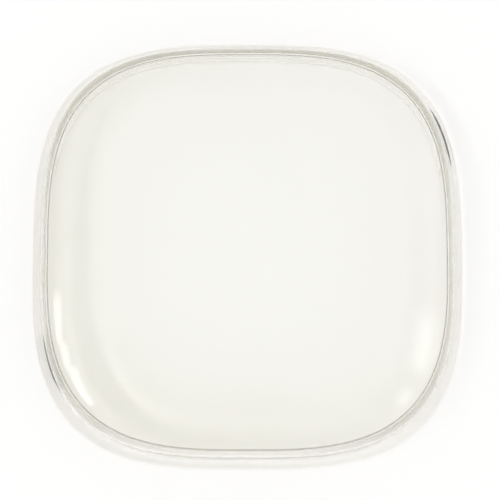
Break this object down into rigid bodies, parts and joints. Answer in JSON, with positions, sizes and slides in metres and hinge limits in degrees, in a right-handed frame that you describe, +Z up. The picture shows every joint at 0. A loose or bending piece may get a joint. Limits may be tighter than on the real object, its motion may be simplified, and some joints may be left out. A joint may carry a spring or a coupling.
{
  "type": "watch crystal",
  "caption": "Clear cushion-shaped wristwatch crystal: a low dome on an upright wall, hollow underneath, with a ledge round its foot for a bezel.",
  "frame": {"origin": "centre of the seat plane, the bottom of the crystal's rim, under the middle of the dome", "axes": "+Z up through the middle of the dome, out of the watch; +X and +Y across the two equal widths of the cushion outline, which is the same every quarter turn"},
  "size_m": [0.0324, 0.0324, 0.0048],
  "materials": {
    "clear_acrylic": "clear, polished, faintly warm where it is thick, with fine hairline scuffs"
  },
  "bodies": {
    "root": {"crystal": "clear_acrylic"}
  },
  "joints": []
}
